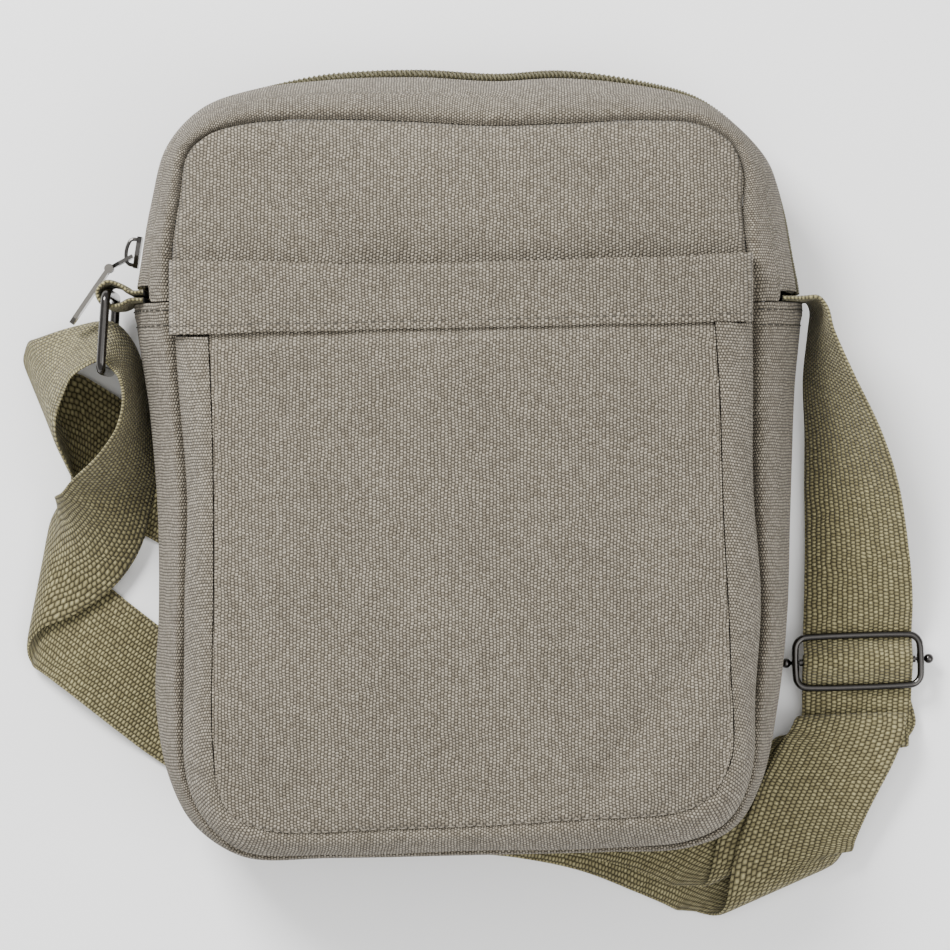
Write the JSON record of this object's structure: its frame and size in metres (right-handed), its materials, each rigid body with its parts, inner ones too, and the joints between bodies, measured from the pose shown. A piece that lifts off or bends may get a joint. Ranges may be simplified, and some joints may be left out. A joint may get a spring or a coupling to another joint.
{
  "type": "shoulder bag",
  "caption": "Small canvas shoulder bag lying on its back, with a zipped main compartment, an open front pocket and a webbing strap.",
  "frame": {"origin": "on the underside of the back panel, about the middle of the bag's body, so the table is Z = 0", "axes": "+X across the bag to the wearer-side strap leg with the adjuster, +Y from the bag's bottom to its zipped top, +Z out of its front"},
  "size_m": [0.3198, 0.2948, 0.0759],
  "materials": {
    "canvas": "washed plain duck canvas",
    "webbing": "woven olive webbing",
    "zip_tape": "woven tape",
    "zip_coil": "olive coil",
    "dark_metal": "black nickel plate"
  },
  "bodies": {
    "bag": {"front_panel": "canvas", "back_panel": "canvas", "body_gusset": "canvas", "zip_strip_back": "canvas", "zip_strip_front": "canvas", "pocket_face": "canvas", "pocket_gusset": "canvas", "pocket_band": "canvas", "shoulder_strap": "webbing", "ring_tab": "webbing", "zipper_tape_back": "zip_tape", "zipper_tape_front": "zip_tape", "zipper_coil": "zip_coil", "side_ring": "dark_metal", "adjuster_frame": "dark_metal", "adjuster_bar": "dark_metal", "zipper_slider": "dark_metal"},
    "pull_link": {"zipper_pull_link": "dark_metal"},
    "pull_tab": {"zipper_pull_tab": "dark_metal"}
  },
  "joints": [
    {"name": "pull_link_hinge", "type": "hinge", "parent": "bag", "child": "pull_link", "pos_m": [-0.11653, 0.07204, 0.028], "axis": [0, 0, 1], "range_deg": [-75, 0]},
    {"name": "pull_tab_hinge", "type": "hinge", "parent": "pull_link", "child": "pull_tab", "pos_m": [-0.12412, 0.068, 0.028], "axis": [0, 0, 1], "range_deg": [-60, 0]}
  ]
}
